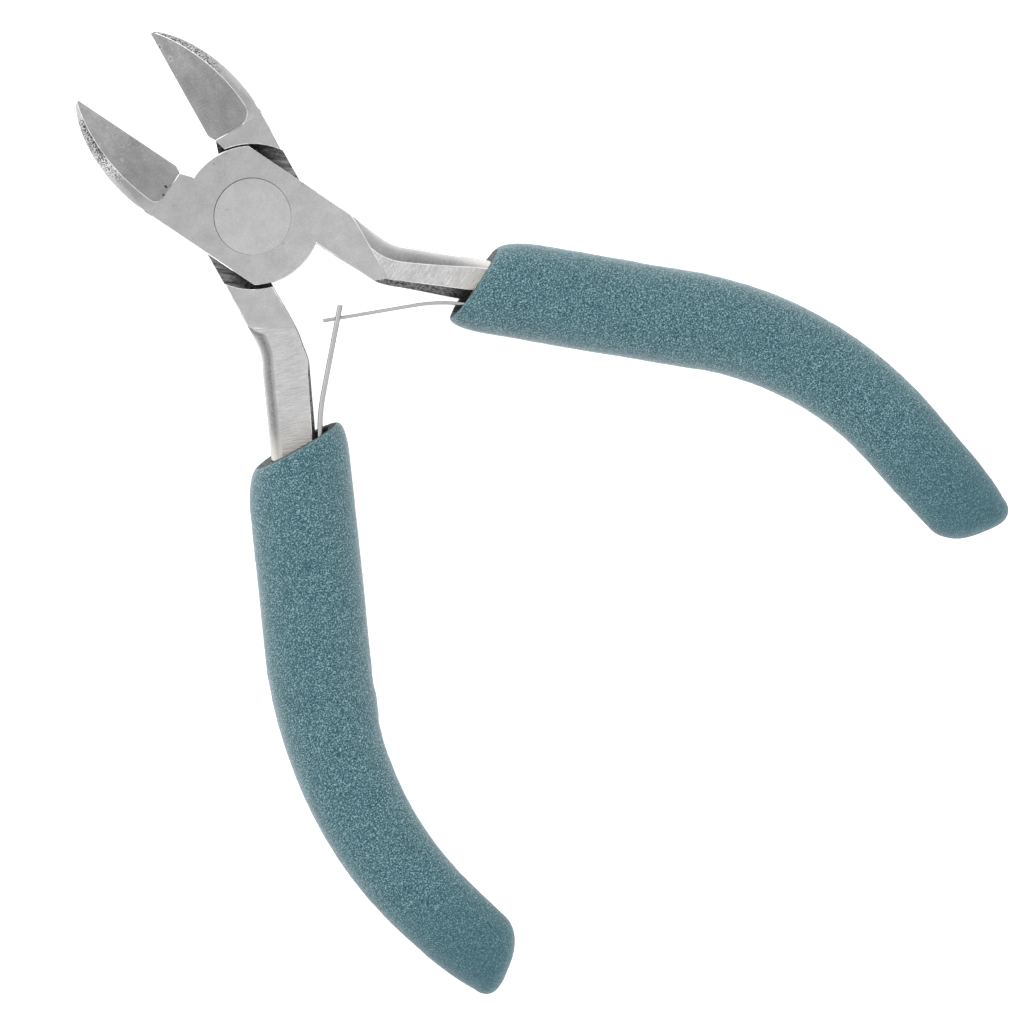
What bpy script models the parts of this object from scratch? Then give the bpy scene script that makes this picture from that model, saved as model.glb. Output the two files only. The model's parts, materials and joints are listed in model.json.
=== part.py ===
"""Flush cutter: a lap-jointed side cutter with foam sleeves and interlocking leaf springs.

Units are metres. The origin lies on the pivot axis, in the plane of the joint's back face.
+Y runs to the nose and +Z runs along the rivet to the front face. The tool rests open.

Each half is drawn in its own closed frame, where "out" is the side of its own handle and
"fore" is the direction of the jaws. The front half has out = +X and the back half is its mirror.
"""

import math
from collections import namedtuple

import bmesh
import bpy
from mathutils import Vector

MM = 0.001

# Joint
OPEN_ANGLE = math.radians(26.9)
THICKNESS = 7.0 * MM
MID_Z = THICKNESS / 2
LAP_GAP = 0.3 * MM
THROAT_RADIUS = 9.0 * MM  # the joint disc, on the side of the jaws
CROTCH_RADIUS = 8.65 * MM  # and on the side of the handles
POCKET_RADIUS = 9.2 * MM
STRIP_HALF = 7.1 * MM
SHOULDER_INSET = 0.13 * MM
INSET = 0.02 * MM  # how far a lofted piece stays inside the plate that it is joined to

# Pivot rivet, peened into a countersink on both faces
RIVET_FACE_RADIUS = 4.85 * MM
RIVET_SHANK_RADIUS = 3.2 * MM
COUNTERSINK_DEPTH = 1.2 * MM
RIVET_GAP = 0.1 * MM

# Jaws
JAW_ROOT_Y = 10.75 * MM
JAW_TIP_Y = 26.6 * MM
JAW_POINT_Y = 26.9 * MM
JAW_CURVE_Y = 11.0 * MM
EDGE_START_Y = 11.66 * MM
EDGE_INSET = 0.05 * MM
HEEL_INSET = 0.63 * MM
FLANK_POWER = 0.72
RIDGE_POWER = 0.87
FACET_CORNER = 1.0 * MM
BACK_RELIEF = 0.9 * MM
BACK_RISE = 1.0 * MM
BACK_CHAMFER = 0.4 * MM
FLANK_STEPS = 4

# Handles, as measured across their centre line
NECK_HALF = 2.8 * MM
SHANK_START_Y = -4.0 * MM
BEND_RADIUS = 9.0 * MM
ELBOW_Y = -54.0 * MM
GRIP_END_Y = -99.5 * MM
CORE_END_Y = -93.0 * MM
CORE_TAIL_WIDTH = 4.2 * MM
FACET_TILT = math.radians(4.5)

# Foam sleeves
MOUTH_Y = -28.0 * MM
MOUTH_LEAN = 0.15
MOUTH_ROUND = 1.3 * MM
MOUTH_ROUND_LENGTH = 4.5 * MM
GRIP_SHIFT = 0.4 * MM
GRIP_TAIL_WIDTH = 10.1 * MM
TAIL_ROUND = 1.6 * MM  # how far the outer side curves in toward the end
TAIL_ROUND_LENGTH = 9.0 * MM
END_SKEW = math.radians(19)
END_LENGTH = 3.2 * MM
GRIP_DEPTH_RATIO = 0.93
GRIP_SIDES = 24
BORE_GAP = 0.3 * MM
BORE_END_Y = -94.0 * MM
SPRING_ROOM = 1.75 * MM

# Leaf springs
LEAF_THICKNESS = 0.7 * MM
LEAF_HEIGHT = 4.4 * MM
LEAF_SEAT_GAP = 0.2 * MM
LEAF_ROOT_Y = -34.0 * MM
TONGUE_HEIGHT = 1.6 * MM
TONGUE_LENGTH = 4.4 * MM
SLOT_HEIGHT = 2.3 * MM
SLOT_LENGTH = 4.0 * MM
SLOT_BRIDGE = 0.9 * MM
SPRING_RIVET_Y = -31.5 * MM
SPRING_RIVET_RADIUS = 0.8 * MM
SPRING_HEAD_RADIUS = 1.35 * MM
SPRING_HEAD_HEIGHT = 0.4 * MM
SPRING_RIVET_DEPTH = 2.4 * MM
SPRING_RIVET_GAP = 0.15 * MM

Side = namedtuple(
    "Side",
    "name out facet_width neck_x bend_y shank_width sweep elbow_radius tail_angle grip_width facet_line"
    " leaf_station_y leaf_tip",
)

FRONT = Side(
    name="front",
    out=1,
    facet_width=5.5 * MM,
    neck_x=4.45 * MM,
    bend_y=-17.6 * MM,
    shank_width=5.4 * MM,
    sweep=math.radians(24.2),
    elbow_radius=44 * MM,
    tail_angle=math.radians(-14.5),
    grip_width=12.2 * MM,
    facet_line=((7.5 * MM, -9.0 * MM), (3.6 * MM, -16.2 * MM)),
    leaf_station_y=-24.6 * MM,
    leaf_tip=(-5.9 * MM, -15.1 * MM),
)
BACK = Side(
    name="back",
    out=-1,
    facet_width=6.1 * MM,
    neck_x=4.85 * MM,
    bend_y=-16.6 * MM,
    shank_width=5.8 * MM,
    sweep=math.radians(23.4),
    elbow_radius=49 * MM,
    tail_angle=math.radians(-19.0),
    grip_width=13.3 * MM,
    facet_line=((7.1 * MM, -12.2 * MM), (2.6 * MM, -14.7 * MM)),
    leaf_station_y=-25.3 * MM,
    leaf_tip=(-4.55 * MM, -14.8 * MM),
)

Station = namedtuple("Station", "x y heading")


# Helpers


def clear_scene():
    for obj in list(bpy.data.objects):
        bpy.data.objects.remove(obj, do_unlink=True)


def ramp(value, start, end):
    """0 before start, 1 after end, and a smooth step between them."""
    t = min(max((value - start) / (end - start), 0.0), 1.0)
    return t * t * (3 - 2 * t)


def mix(a, b, t):
    return a + (b - a) * t


def spread(start, end, count):
    """count values from start to end, both included."""
    return [mix(start, end, i / (count - 1)) for i in range(count)]


def arc_points(centre, radius, start_deg, end_deg, count):
    angles = [math.radians(a) for a in spread(start_deg, end_deg, count)]
    return [(centre[0] + radius * math.cos(a), centre[1] + radius * math.sin(a)) for a in angles]


def material(name, colour, roughness, metallic):
    mat = bpy.data.materials.new(name)
    mat.use_nodes = True
    shader = mat.node_tree.nodes["Principled BSDF"]
    shader.inputs["Base Color"].default_value = (*colour, 1.0)
    shader.inputs["Roughness"].default_value = roughness
    shader.inputs["Metallic"].default_value = metallic
    return mat


def steel(name):
    return material(name, colour=(0.62, 0.61, 0.59), roughness=0.38, metallic=1.0)


def spring_steel(name):
    return material(name, colour=(0.70, 0.69, 0.67), roughness=0.25, metallic=1.0)


def foam(name):
    return material(name, colour=(0.10, 0.20, 0.23), roughness=0.95, metallic=0.0)


def add_object(name, bm, mat=None, sharp_deg=30):
    bmesh.ops.remove_doubles(bm, verts=bm.verts, dist=1e-7)
    bmesh.ops.recalc_face_normals(bm, faces=bm.faces)
    mesh = bpy.data.meshes.new(name)
    bm.to_mesh(mesh)
    bm.free()
    mesh.shade_smooth()
    mesh.set_sharp_from_angle(angle=math.radians(sharp_deg))
    obj = bpy.data.objects.new(name, mesh)
    bpy.context.scene.collection.objects.link(obj)
    if mat is not None:
        mesh.materials.append(mat)
    return obj


def loft(rings):
    """A closed body through rings of equal length, capped at both ends."""
    bm = bmesh.new()
    rows = [[bm.verts.new(point) for point in ring] for ring in rings]
    count = len(rings[0])
    for low, high in zip(rows, rows[1:]):
        for i in range(count):
            j = (i + 1) % count
            bm.faces.new((low[i], low[j], high[j], high[i]))
    bm.faces.new(rows[0])
    bm.faces.new(rows[-1])
    return bm


def prism(outline, low, high):
    return loft([[(x, y, z) for x, y in outline] for z in (low, high)])


def turned(profile, segments, axis_point=(0.0, 0.0)):
    """A body of revolution about a line along Z, from (radius, z) points off the axis."""
    rings = []
    for radius, z in profile:
        ring = []
        for i in range(segments):
            angle = math.tau * i / segments
            x = axis_point[0] + radius * math.cos(angle)
            y = axis_point[1] + radius * math.sin(angle)
            ring.append((x, y, z))
        rings.append(ring)
    return loft(rings)


def combine(obj, tool, operation):
    """A Boolean with a helper body, which stays hidden."""
    tool.hide_render = True
    tool.display_type = "WIRE"
    modifier = obj.modifiers.new(tool.name, "BOOLEAN")
    modifier.operation = operation
    modifier.solver = "EXACT"
    modifier.object = tool


def place_on(arm, *objects):
    for obj in objects:
        obj.parent = arm


def add_arm(side):
    """The empty on the pivot axis that carries one half, turned to the open rest pose."""
    arm = bpy.data.objects.new(side.name + "_arm", None)
    bpy.context.scene.collection.objects.link(arm)
    arm.rotation_euler.z = side.out * OPEN_ANGLE / 2
    return arm


# Handle centre line


def handle_path(side):
    """Stations down the middle of the steel handle; heading is the turn outward from straight back."""
    turn = side.sweep
    tangent = BEND_RADIUS * math.tan(turn / 2)
    stations = [Station(side.neck_x, y, 0.0) for y in (SHANK_START_Y, -9.1 * MM, -11.0 * MM)]
    bend_start = side.bend_y + tangent
    for angle in spread(0.0, turn, 5):
        x = side.neck_x + BEND_RADIUS * (1 - math.cos(angle))
        stations.append(Station(x, bend_start - BEND_RADIUS * math.sin(angle), angle))
    last = stations[-1]
    for y in spread(last.y, ELBOW_Y, 9)[1:]:
        stations.append(Station(last.x + (last.y - y) * math.tan(turn), y, turn))
    elbow = stations[-1]
    for angle in spread(turn, side.tail_angle, 9)[1:]:
        x = elbow.x + side.elbow_radius * (math.cos(angle) - math.cos(turn))
        y = elbow.y + side.elbow_radius * (math.sin(angle) - math.sin(turn))
        stations.append(Station(x, y, angle))
    tail = stations[-1]
    for y in spread(tail.y, GRIP_END_Y, 4)[1:]:
        x = tail.x + (tail.y - y) * math.tan(side.tail_angle)
        stations.append(Station(x, y, side.tail_angle))
    return stations


def path_at(side, y):
    """The station where the handle's centre line passes y."""
    stations = handle_path(side)
    for near, far in zip(stations, stations[1:]):
        if near.y >= y >= far.y:
            t = (near.y - y) / (near.y - far.y)
            return Station(mix(near.x, far.x, t), y, mix(near.heading, far.heading, t))
    raise ValueError("y is beyond the handle")


def across(side, station, offset, z, along=0.0):
    """A point beside a station: offset outward, and along the handle's run."""
    x = station.x + offset * math.cos(station.heading) + along * math.sin(station.heading)
    y = station.y + offset * math.sin(station.heading) - along * math.cos(station.heading)
    return Vector((side.out * x, y, z))


def core_width(side, y):
    return mix(side.shank_width, CORE_TAIL_WIDTH, ramp(y, ELBOW_Y, CORE_END_Y))


def core_heights(y):
    """Lower and upper face of the steel handle."""
    inside = ramp(y, MOUTH_Y, -36 * MM)
    low = mix(INSET, 0.75 * MM, ramp(y, -12 * MM, -20 * MM)) + 0.35 * MM * inside
    return low, mix(THICKNESS - INSET, 5.9 * MM, inside)


def core_section(side, station):
    y = station.y
    half = mix(NECK_HALF - INSET, core_width(side, y) / 2, ramp(y, -9 * MM, -16 * MM))
    low, high = core_heights(y)
    rounding = mix(0.25 * MM, 1.4 * MM, ramp(y, -9 * MM, -16 * MM))
    chamfer = mix(0.15 * MM, 0.8 * MM, ramp(y, -14 * MM, MOUTH_Y))
    points = [(-half, high - chamfer), (-half + chamfer, high)]
    points += arc_points((half - rounding, high - rounding), rounding, 90, 0, 5)
    points += arc_points((half - rounding, low + rounding), rounding, 0, -90, 5)
    points += [(-half + chamfer, low), (-half, low + chamfer)]
    return [across(side, station, offset, z) for offset, z in points]


# Steel halves


def joint_outline(side):
    """The flat plate of the joint: a disc with straight sides that carries the jaw's root."""
    handle_side = side.neck_x + NECK_HALF
    throat_end = math.degrees(math.acos(handle_side / THROAT_RADIUS))
    crotch_start = math.degrees(math.acos(handle_side / CROTCH_RADIUS))
    crotch_end = math.degrees(math.acos(STRIP_HALF / CROTCH_RADIUS)) - 180
    outline = [(-HEEL_INSET, JAW_ROOT_Y), (-SHOULDER_INSET, POCKET_RADIUS)]
    outline += arc_points((0, 0), THROAT_RADIUS, 90.8, throat_end, 22)
    outline += arc_points((0, 0), CROTCH_RADIUS, -crotch_start, crotch_end, 30)
    outline.append((-STRIP_HALF, JAW_ROOT_Y))
    return [(side.out * x, y) for x, y in outline]


def jaw_fall(y):
    """1 at the jaw's root and 0 at its point, along a circle's quarter."""
    u = max(y - JAW_CURVE_Y, 0.0) / (JAW_POINT_Y - JAW_CURVE_Y)
    return 1 - u * u


def jaw_section(side, y):
    """One slice across the jaw: ground facet, ridge, rounded flank and flat back."""
    flank = (STRIP_HALF - INSET) * jaw_fall(y) ** FLANK_POWER
    ridge_run = side.facet_width * jaw_fall(y) ** RIDGE_POWER
    reach = (y - JAW_ROOT_Y) / (JAW_TIP_Y - JAW_ROOT_Y)
    back = BACK_RELIEF + BACK_RISE * max(reach, 0.0)
    slope = (THICKNESS - INSET - BACK_RELIEF) / side.facet_width
    edge = mix(HEEL_INSET, EDGE_INSET, min(max((y - JAW_ROOT_Y) / (EDGE_START_Y - JAW_ROOT_Y), 0.0), 1.0))
    ridge = ridge_run
    corner_y = JAW_ROOT_Y + FACET_CORNER
    if y < corner_y:
        drop = min(corner_y - y, FACET_CORNER)
        ridge = side.facet_width - FACET_CORNER + math.sqrt(FACET_CORNER ** 2 - drop ** 2)
    top = back + slope * ridge_run
    depth = mix(0.25 * MM, 0.55 * (top - back), ramp(y, JAW_ROOT_Y, 16 * MM))
    chamfer = BACK_CHAMFER * jaw_fall(y)
    points = [(-edge, back), (-edge, back + slope * edge), (-ridge, back + slope * ridge), (-ridge, top)]
    for i in range(1, FLANK_STEPS + 1):
        angle = math.pi / 2 * i / FLANK_STEPS
        points.append((-mix(ridge, flank, math.sin(angle)), top - depth * (1 - math.cos(angle))))
    points += [(-flank, back + chamfer), (-flank + chamfer, back)]
    return [(side.out * x, y, z) for x, z in points]


def jaw_body(side):
    ys = [JAW_ROOT_Y - 0.5 * MM]
    ys += spread(JAW_ROOT_Y + 0.01 * MM, JAW_ROOT_Y + FACET_CORNER, 5)
    ys += spread(JAW_ROOT_Y + FACET_CORNER, JAW_TIP_Y, 14)[1:]
    return loft([jaw_section(side, y) for y in ys])


def handle_body(side):
    stations = [s for s in handle_path(side) if s.y > CORE_END_Y] + [path_at(side, CORE_END_Y)]
    return loft([core_section(side, s) for s in stations])


def shank_facet_cutter(side):
    """A wedge whose underside tilts down from the facet line toward the handle."""
    start, end = (Vector((side.out * x, y, 0)) for x, y in side.facet_line)
    along = (end - start).normalized()
    down_handle = Vector((along.y * side.out, -along.x * side.out, 0)) * -1
    start, end = start - along * 8 * MM, end + along * 10 * MM
    run = 22 * MM
    base = THICKNESS - INSET
    fall = run * math.tan(FACET_TILT)
    rings = []
    for point in (start, end):
        far = point + down_handle * run
        rings.append(
            [
                (point.x, point.y, base),
                (far.x, far.y, base - fall),
                (far.x, far.y, THICKNESS + 2 * MM),
                (point.x, point.y, THICKNESS + 2 * MM),
            ]
        )
    return loft(rings)


def rivet_profile(gap, overrun):
    """(radius, z) of the rivet from back face to front face, or of its hole when a gap is given."""
    face = RIVET_FACE_RADIUS + gap
    shank = RIVET_SHANK_RADIUS + gap
    profile = [(face, 0.0), (shank, COUNTERSINK_DEPTH)]
    profile += [(shank, THICKNESS - COUNTERSINK_DEPTH), (face, THICKNESS)]
    if overrun:
        profile = [(face, -overrun), *profile, (face, THICKNESS + overrun)]
    return profile


def spring_seat(side, y, offset):
    """Place and outward direction of something fixed to the handle's inner face."""
    station = path_at(side, y)
    point = across(side, station, offset, MID_Z)
    outward = (across(side, station, offset + MM, MID_Z) - point).normalized()
    return point, outward


def pin_between(start, end, radius, segments=20):
    """A cylinder from one point to another, both at the same height."""
    axis = (end - start).normalized()
    sideways = Vector((-axis.y, axis.x, 0))
    rings = []
    for point in (start, end):
        ring = []
        for i in range(segments):
            angle = math.tau * i / segments
            ring.append(point + radius * (math.cos(angle) * sideways + math.sin(angle) * Vector((0, 0, 1))))
        rings.append(ring)
    return loft(rings)


def spring_rivet_hole(side):
    face = -core_width(side, SPRING_RIVET_Y) / 2
    start, _ = spring_seat(side, SPRING_RIVET_Y, face - 2 * MM)
    end, _ = spring_seat(side, SPRING_RIVET_Y, face + SPRING_RIVET_DEPTH + 0.3 * MM)
    return pin_between(start, end, SPRING_RIVET_RADIUS + SPRING_RIVET_GAP)


def add_half(side, arm):
    name = side.name + "_half"
    half = add_object(name, prism(joint_outline(side), 0.0, THICKNESS), steel(name))
    jaw = add_object(name + "_jaw", jaw_body(side))
    handle = add_object(name + "_handle", handle_body(side))
    facet = add_object(name + "_shank_facet", shank_facet_cutter(side))
    if side is FRONT:
        low, high = -MM, MID_Z + LAP_GAP / 2
    else:
        low, high = MID_Z - LAP_GAP / 2, THICKNESS + MM
    pocket = add_object(name + "_pocket", turned([(POCKET_RADIUS, low), (POCKET_RADIUS, high)], 96))
    hole = add_object(name + "_rivet_hole", turned(rivet_profile(RIVET_GAP, MM), 64))
    seat = add_object(name + "_spring_hole", spring_rivet_hole(side))
    combine(half, handle, "UNION")
    combine(half, jaw, "UNION")
    for tool in (facet, pocket, hole, seat):
        combine(half, tool, "DIFFERENCE")
    place_on(arm, half, jaw, handle, facet, pocket, hole, seat)


def add_pivot_rivet(arm):
    rivet = add_object("pivot_rivet", turned(rivet_profile(0.0, 0.0), 64), steel("pivot_rivet"))
    place_on(arm, rivet)


# Leaf springs


def leaf_seat(side, y):
    """The leaf's centre where it lies along the handle's inner face."""
    offset = -(side.shank_width / 2 + LEAF_SEAT_GAP + LEAF_THICKNESS / 2)
    return across(side, path_at(side, y), offset, MID_Z)


def leaf_line(side):
    """Centre line of a leaf in its half's frame: seated root, bend and straight run to the tip."""
    root = leaf_seat(side, LEAF_ROOT_Y)
    bend = leaf_seat(side, side.leaf_station_y)
    tip = Vector((side.out * side.leaf_tip[0], side.leaf_tip[1], MID_Z))
    before = bend + (root - bend).normalized() * 1.6 * MM
    after = bend + (tip - bend).normalized() * 1.6 * MM
    points = [root]
    for t in spread(0.0, 1.0, 5):
        points.append(before * (1 - t) ** 2 + bend * 2 * t * (1 - t) + after * t * t)
    return points, tip


def leaf_ring(point, direction, half_height):
    sideways = Vector((-direction.y, direction.x, 0)) * LEAF_THICKNESS / 2
    up = Vector((0, 0, half_height))
    return [point - sideways - up, point + sideways - up, point + sideways + up, point - sideways + up]


def add_leaf(side, arm, name, narrow_length, slotted):
    """A flat strip on edge, its origin at its bend, with a narrow tongue or a slot near the tip."""
    points, tip = leaf_line(side)
    origin = leaf_seat(side, side.leaf_station_y)
    run = (tip - points[-1]).normalized()
    heights = [LEAF_HEIGHT / 2] * len(points)
    if slotted:
        points.append(tip)
        heights.append(LEAF_HEIGHT / 2)
    else:
        shoulder = tip - run * narrow_length
        points += [shoulder, shoulder + run * 0.4 * MM, tip]
        heights += [LEAF_HEIGHT / 2, TONGUE_HEIGHT / 2, TONGUE_HEIGHT / 2]
    rings = []
    for i, point in enumerate(points):
        near = points[max(i - 1, 0)]
        far = points[min(i + 1, len(points) - 1)]
        rings.append(leaf_ring(point - origin, (far - near).normalized(), heights[i]))
    leaf = add_object(name, loft(rings), spring_steel(name))
    leaf.location = origin
    if slotted:
        near = tip - run * (SLOT_BRIDGE + SLOT_LENGTH) - origin
        far = tip - run * SLOT_BRIDGE - origin
        sideways = Vector((-run.y, run.x, 0)) * MM
        up = Vector((0, 0, SLOT_HEIGHT / 2))
        corners = [near - sideways, near + sideways, far + sideways, far - sideways]
        slot = add_object(name + "_slot", loft([[p - up for p in corners], [p + up for p in corners]]))
        slot.location = origin
        combine(leaf, slot, "DIFFERENCE")
        place_on(arm, slot)
    hole = add_object(name + "_rivet_hole", spring_rivet_hole(side))
    combine(leaf, hole, "DIFFERENCE")
    place_on(arm, leaf, hole)


def add_spring_rivet(side, arm):
    """A small rivet through the leaf's root into the handle's inner face."""
    face = -core_width(side, SPRING_RIVET_Y) / 2
    head_low = face - LEAF_SEAT_GAP - LEAF_THICKNESS - SPRING_RIVET_GAP
    stations = [
        (head_low - SPRING_HEAD_HEIGHT, SPRING_HEAD_RADIUS * 0.8),
        (head_low - SPRING_HEAD_HEIGHT * 0.4, SPRING_HEAD_RADIUS),
        (head_low, SPRING_HEAD_RADIUS),
        (head_low, SPRING_RIVET_RADIUS),
        (face + SPRING_RIVET_DEPTH, SPRING_RIVET_RADIUS),
    ]
    rings = []
    for offset, radius in stations:
        centre, outward = spring_seat(side, SPRING_RIVET_Y, offset)
        sideways = Vector((-outward.y, outward.x, 0))
        ring = []
        for i in range(20):
            angle = math.tau * i / 20
            ring.append(centre + radius * (math.cos(angle) * sideways + math.sin(angle) * Vector((0, 0, 1))))
        rings.append(ring)
    name = side.name + "_spring_rivet"
    place_on(arm, add_object(name, loft(rings), spring_steel(name)))


# Foam sleeves


def sleeve_width(side, y):
    beyond_elbow = min(max((ELBOW_Y - y) / (ELBOW_Y - GRIP_END_Y), 0.0), 1.0)
    return mix(side.grip_width, GRIP_TAIL_WIDTH, beyond_elbow ** 0.7)


def outer_offset(side, y, angle, size):
    """Place of a point of the outside across the sleeve; the outer side curves in near the end."""
    near_end = min(max((GRIP_END_Y + TAIL_ROUND_LENGTH - y) / TAIL_ROUND_LENGTH, 0.0), 1.0)
    trim = TAIL_ROUND * near_end ** 2 * max(math.cos(angle), 0.0)
    return -GRIP_SHIFT + (math.cos(angle) * sleeve_width(side, y) / 2 - trim) * size


def sleeve_ring(side, station, trim, inner):
    """One ring of the sleeve's outside or bore; trim is how much of the slanted mouth it takes."""
    ring = []
    half_width = sleeve_width(side, station.y) / 2
    from_mouth = min((MOUTH_Y - station.y) / MOUTH_ROUND_LENGTH, 1.0)
    size = 1 - MOUTH_ROUND * (1 - math.sqrt(1 - (1 - from_mouth) ** 2)) / half_width
    low, high = core_heights(station.y)
    core_half = core_width(side, station.y) / 2
    room = mix(SPRING_ROOM, BORE_GAP, ramp(station.y, LEAF_ROOT_Y - MM, LEAF_ROOT_Y - 5 * MM))
    for i in range(GRIP_SIDES):
        angle = math.tau * (i + 0.5) / GRIP_SIDES
        across_part, up_part = math.cos(angle), math.sin(angle)
        if inner:
            box = 0.35
            across_part = math.copysign(abs(across_part) ** box, across_part)
            up_part = math.copysign(abs(up_part) ** box, up_part)
            left, right = -core_half - room, core_half + BORE_GAP
            offset = (left + right) / 2 + across_part * (right - left) / 2
            z = (low + high) / 2 + up_part * ((high - low) / 2 + BORE_GAP)
        else:
            offset = outer_offset(side, station.y, angle, size)
            z = MID_Z + up_part * half_width * size * GRIP_DEPTH_RATIO
        slant = offset * math.tan(station.heading) + (z - MID_Z) * MOUTH_LEAN
        ring.append(across(side, station, offset, z, along=slant * trim))
    return ring


def sleeve_end(side):
    """Rings that close the sleeve: a rounded end, longer on the outer side."""
    rings = []
    last = path_at(side, GRIP_END_Y + END_LENGTH)
    half_width = sleeve_width(side, last.y) / 2
    for step in range(5):
        angle = math.pi / 2 * step / 5
        size = math.cos(angle) ** 0.7
        ring = []
        for i in range(GRIP_SIDES):
            turn = math.tau * (i + 0.5) / GRIP_SIDES
            offset = outer_offset(side, last.y, turn, size)
            z = MID_Z + math.sin(turn) * half_width * GRIP_DEPTH_RATIO * size
            skew = (offset + GRIP_SHIFT) * math.tan(END_SKEW)
            ring.append(across(side, last, offset, z, along=END_LENGTH * math.sin(angle) + skew))
        rings.append(ring)
    return rings


def sleeve_rings(side):
    mouth = path_at(side, MOUTH_Y)
    depths = [s for s in handle_path(side) if MOUTH_Y - 9 * MM > s.y > GRIP_END_Y + 5 * MM]
    near = [path_at(side, MOUTH_Y - back * MM) for back in (0.4, 1.2, 2.6, 4.5, 6.8, 9.0)]
    outside = [sleeve_ring(side, s, 1 - ramp(s.y, MOUTH_Y - 2 * MM, MOUTH_Y - 9 * MM), False) for s in near]
    outside += [sleeve_ring(side, s, 0.0, False) for s in depths]
    outside += sleeve_end(side)
    bore_depths = [s for s in depths if s.y > BORE_END_Y] + [path_at(side, BORE_END_Y)]
    bore = [sleeve_ring(side, mouth, 1.0, True)]
    bore += [sleeve_ring(side, s, 1 - ramp(s.y, MOUTH_Y - 2 * MM, MOUTH_Y - 9 * MM), True) for s in near[2:]]
    bore += [sleeve_ring(side, s, 0.0, True) for s in bore_depths]
    lip = [point.lerp(hole, 0.18) for point, hole in zip(sleeve_ring(side, mouth, 1.0, False), bore[0])]
    return bore[::-1] + [lip] + outside


def add_sleeve(side, arm):
    name = side.name + "_grip_sleeve"
    place_on(arm, add_object(name, loft(sleeve_rings(side)), foam(name), sharp_deg=60))


def build():
    clear_scene()
    front_arm, back_arm = add_arm(FRONT), add_arm(BACK)
    add_pivot_rivet(front_arm)
    for side, arm in ((FRONT, front_arm), (BACK, back_arm)):
        add_half(side, arm)
        add_spring_rivet(side, arm)
        add_sleeve(side, arm)
    add_leaf(FRONT, front_arm, "front_tongue_leaf", TONGUE_LENGTH, slotted=False)
    add_leaf(BACK, back_arm, "back_slotted_leaf", 0.0, slotted=True)


build()
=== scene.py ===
"""Looks of the flush cutter: bevelled steel forgings, flexing leaf springs and foam sleeves.

Units are metres, in the row frame: origin on the pivot axis at the joint's back face, +Y to the nose,
+Z to the front face. Each half is drawn in its own closed frame, where "out" is the side of its own
handle, and is then turned to the open rest pose.
"""

import json
import math
from collections import namedtuple

import bmesh
import bpy
from mathutils import Matrix, Vector, noise


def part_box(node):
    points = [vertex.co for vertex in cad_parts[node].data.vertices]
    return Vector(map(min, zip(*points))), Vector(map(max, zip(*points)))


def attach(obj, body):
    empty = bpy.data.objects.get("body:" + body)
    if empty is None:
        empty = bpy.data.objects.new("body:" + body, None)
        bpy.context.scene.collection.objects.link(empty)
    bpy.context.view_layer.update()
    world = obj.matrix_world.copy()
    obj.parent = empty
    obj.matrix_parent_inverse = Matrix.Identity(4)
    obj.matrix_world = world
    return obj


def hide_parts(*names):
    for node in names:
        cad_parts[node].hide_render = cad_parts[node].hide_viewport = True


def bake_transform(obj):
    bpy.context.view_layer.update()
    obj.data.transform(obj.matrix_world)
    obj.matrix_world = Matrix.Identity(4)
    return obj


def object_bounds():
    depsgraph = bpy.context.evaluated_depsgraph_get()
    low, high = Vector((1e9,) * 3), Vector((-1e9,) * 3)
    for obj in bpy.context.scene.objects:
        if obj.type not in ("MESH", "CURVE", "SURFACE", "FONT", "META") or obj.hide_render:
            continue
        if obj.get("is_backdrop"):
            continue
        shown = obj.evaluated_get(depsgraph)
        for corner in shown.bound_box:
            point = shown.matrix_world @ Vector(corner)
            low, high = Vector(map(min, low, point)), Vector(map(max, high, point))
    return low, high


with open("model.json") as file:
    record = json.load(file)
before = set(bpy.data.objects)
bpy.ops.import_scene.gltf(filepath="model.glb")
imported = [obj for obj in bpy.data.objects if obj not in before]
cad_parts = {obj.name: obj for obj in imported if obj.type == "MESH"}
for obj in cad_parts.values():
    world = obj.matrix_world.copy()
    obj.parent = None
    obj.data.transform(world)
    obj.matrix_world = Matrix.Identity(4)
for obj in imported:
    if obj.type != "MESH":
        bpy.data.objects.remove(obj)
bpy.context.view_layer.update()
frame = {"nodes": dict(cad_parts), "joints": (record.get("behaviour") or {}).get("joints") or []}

MM = 0.001
REST_JOINTS = {joint["name"]: joint for joint in frame["joints"]}
OPEN_ANGLE = math.radians(REST_JOINTS["pivot"]["range_deg"][1])

# Joint
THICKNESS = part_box("pivot_rivet")[1].z
MID_Z = THICKNESS / 2
LAP_GAP = 0.25 * MM
THROAT_RADIUS = 9.0 * MM
CROTCH_RADIUS = 8.65 * MM
POCKET_RADIUS = 9.2 * MM
SHOULDER_INSET = 0.13 * MM
RIVET_FACE_RADIUS = 4.85 * MM
RIVET_SHANK_RADIUS = 3.2 * MM
COUNTERSINK_DEPTH = 1.2 * MM
RIVET_GAP = 0.05 * MM
RIVET_SHIFT = (0.0, -0.04 * MM)  # the rivet sits a little off centre in its hole
BEVEL = 0.25 * MM
JOIN = 0.004 * MM  # how far a lofted piece stays inside the plate that it is joined to

# Jaws
JAW_ROOT_Y = 10.75 * MM
JAW_TIP_Y = 26.6 * MM
JAW_POINT_Y = 26.9 * MM
JAW_CURVE_Y = 11.0 * MM
EDGE_START_Y = 11.66 * MM
EDGE_INSET = 0.05 * MM
HEEL_INSET = 0.63 * MM
RIDGE_POWER = 0.87
BACK_RELIEF = 0.9 * MM
BACK_RISE = 1.0 * MM
BACK_CHAMFER = 0.4 * MM
FLANK_STEPS = 9
FLANK_DROP_START = 0.12 * MM
FLANK_DROP_SHARE = 0.55  # of the height above the jaw's back, reached at FLANK_DROP_Y
FLANK_DROP_Y = 17.0 * MM
HEEL_CUT = ((0.55 * MM, 10.85 * MM), (1.2 * MM, 8.8 * MM))

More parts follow.
